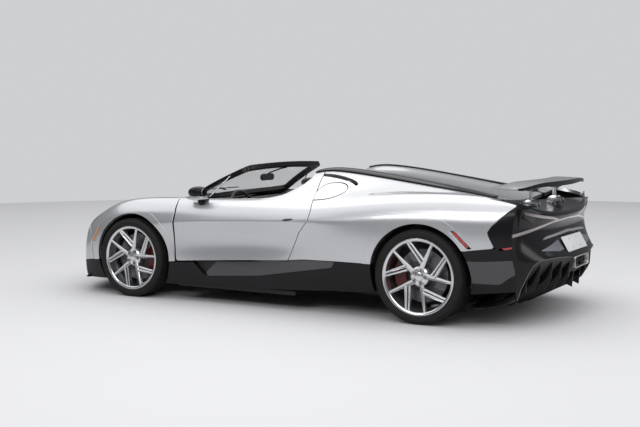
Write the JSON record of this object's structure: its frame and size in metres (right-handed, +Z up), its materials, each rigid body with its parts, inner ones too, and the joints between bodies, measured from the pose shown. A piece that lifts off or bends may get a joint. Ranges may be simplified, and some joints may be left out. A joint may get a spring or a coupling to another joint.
{
  "type": "roadster convertible",
  "caption": "Low two-seat mid-engined roadster with open cabin, raked windscreen, twin buttress bands, forked-spoke wheels and a raised rear wing.",
  "frame": {"origin": "on the ground, under the middle of the car's length and width", "axes": "+X towards the tail, +Y towards the car's right side, +Z up"},
  "size_m": [4.5852, 2.0372, 1.1556],
  "materials": {
    "silver_paint": "metallic silver under clear lacquer",
    "gloss_black": "gloss black",
    "carbon": "lacquered carbon weave",
    "clear_glass": "clear laminated glass",
    "lamp_lens": "clear lens over a dark housing",
    "red_lens": "red and smoked lamp lens",
    "plate": "blank plate",
    "exhaust_metal": "brushed metal",
    "cabin_trim": "black soft trim",
    "seat_leather": "black leather",
    "cast_metal": "cast metal",
    "bare_steel": "cast steel",
    "polished_alloy": "polished alloy",
    "disc_iron": "ground grey disc",
    "tyre_rubber": "black rubber"
  },
  "bodies": {
    "root": {"sills": "gloss_black", "splitter": "carbon", "front_bumper": "silver_paint", "front_wings": "silver_paint", "engine_cover": "silver_paint", "buttress_bands": "gloss_black", "rear_quarters": "silver_paint", "rear_bumper": "gloss_black", "plate_panel": "plate", "diffuser": "carbon", "exhaust": "exhaust_metal", "windscreen_frame": "gloss_black", "windscreen": "clear_glass", "tub": "cabin_trim", "dashboard": "cabin_trim", "seat_cushions": "seat_leather", "seat_backs": "seat_leather", "engine": "cast_metal", "rear_uprights": "bare_steel", "front_arms": "bare_steel", "front_grille": "carbon", "wing_carrier": "gloss_black", "headlamps": "lamp_lens", "tail_lamps": "red_lens"},
    "bonnet": {"bonnet": "silver_paint"},
    "door_left": {"door_left": "silver_paint", "mirror_left": "gloss_black"},
    "door_right": {"door_right": "silver_paint", "mirror_right": "gloss_black"},
    "knuckle_left": {"knuckle_left": "bare_steel"},
    "knuckle_right": {"knuckle_right": "bare_steel"},
    "steering_wheel": {"steering_wheel": "cabin_trim"},
    "rear_wing": {"rear_wing": "silver_paint"},
    "wheel_front_left": {"rim_front_left": "polished_alloy", "disc_front_left": "disc_iron", "tyre_front_left": "tyre_rubber"},
    "wheel_front_right": {"rim_front_right": "polished_alloy", "disc_front_right": "disc_iron", "tyre_front_right": "tyre_rubber"},
    "wheel_rear_left": {"rim_rear_left": "polished_alloy", "disc_rear_left": "disc_iron", "tyre_rear_left": "tyre_rubber"},
    "wheel_rear_right": {"rim_rear_right": "polished_alloy", "disc_rear_right": "disc_iron", "tyre_rear_right": "tyre_rubber"}
  },
  "joints": [
    {"name": "steer_left", "type": "hinge", "parent": "root", "child": "knuckle_left", "pos_m": [-1.3525, -0.83, 0.3395], "axis": [0, 0, 1], "range_deg": [-28, 28]},
    {"name": "steer_right", "type": "hinge", "parent": "root", "child": "knuckle_right", "pos_m": [-1.3525, 0.83, 0.3395], "axis": [0, 0, 1], "range_deg": [-28, 28]},
    {"name": "roll_front_left", "type": "hinge", "parent": "knuckle_left", "child": "wheel_front_left", "pos_m": [-1.3525, -0.8635, 0.3395], "axis": [0, 1, 0], "continuous": true},
    {"name": "roll_rear_left", "type": "hinge", "parent": "root", "child": "wheel_rear_left", "pos_m": [1.3585, -0.8345, 0.3555], "axis": [0, 1, 0], "continuous": true},
    {"name": "roll_front_right", "type": "hinge", "parent": "knuckle_right", "child": "wheel_front_right", "pos_m": [-1.3525, 0.8635, 0.3395], "axis": [0, 1, 0], "continuous": true},
    {"name": "roll_rear_right", "type": "hinge", "parent": "root", "child": "wheel_rear_right", "pos_m": [1.3585, 0.8345, 0.3555], "axis": [0, 1, 0], "continuous": true},
    {"name": "steering_wheel_turn", "type": "hinge", "parent": "root", "child": "steering_wheel", "pos_m": [-0.5875, -0.37, 0.735], "axis": [0.9272, 0, 0.3746], "range_deg": [-392, 392]},
    {"name": "door_left_hinge", "type": "hinge", "parent": "root", "child": "door_left", "pos_m": [-0.8825, -0.944, 0.5], "axis": [0, 0, -1], "range_deg": [0, 62]},
    {"name": "door_right_hinge", "type": "hinge", "parent": "root", "child": "door_right", "pos_m": [-0.8825, 0.944, 0.5], "axis": [0, 0, 1], "range_deg": [0, 62]},
    {"name": "bonnet_hinge", "type": "hinge", "parent": "root", "child": "bonnet", "pos_m": [-1.2005, 0, 0.843], "axis": [0, 1, 0], "range_deg": [0, 58]},
    {"name": "rear_wing_lift", "type": "slide", "parent": "root", "child": "rear_wing", "axis": [0, 0, 1], "range_m": [-0.09, 0]}
  ],
  "couplings": [
    {"joint": "steer_right", "follows": "steer_left", "ratio": 1},
    {"joint": "steering_wheel_turn", "follows": "steer_left", "ratio": 14}
  ]
}
